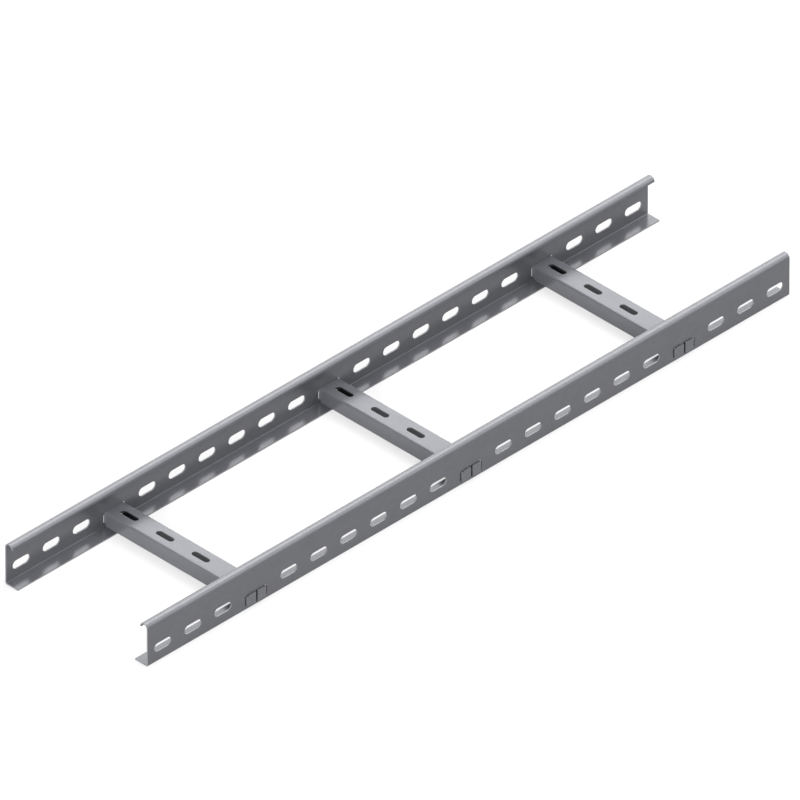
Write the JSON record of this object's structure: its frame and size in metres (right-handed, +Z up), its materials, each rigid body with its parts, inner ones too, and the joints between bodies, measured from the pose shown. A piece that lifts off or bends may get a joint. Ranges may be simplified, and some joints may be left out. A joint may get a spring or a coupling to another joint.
{
  "type": "cable ladder section",
  "caption": "Straight galvanised steel cable ladder section: two side rails with a curled top lip and slotted webs, joined by slotted channel rungs.",
  "frame": {"origin": "on the floor, in the middle of the section's length and width", "axes": "+X along the ladder, +Y across it from the front rail to the back rail, +Z up"},
  "size_m": [0.9, 0.203, 0.05],
  "materials": {
    "galvanised_sheet": "galvanised sheet, semi-gloss"
  },
  "bodies": {
    "root": {"side_rail_front": "galvanised_sheet", "side_rail_back": "galvanised_sheet", "rung_1": "galvanised_sheet", "rung_2": "galvanised_sheet", "rung_3": "galvanised_sheet"}
  },
  "joints": []
}
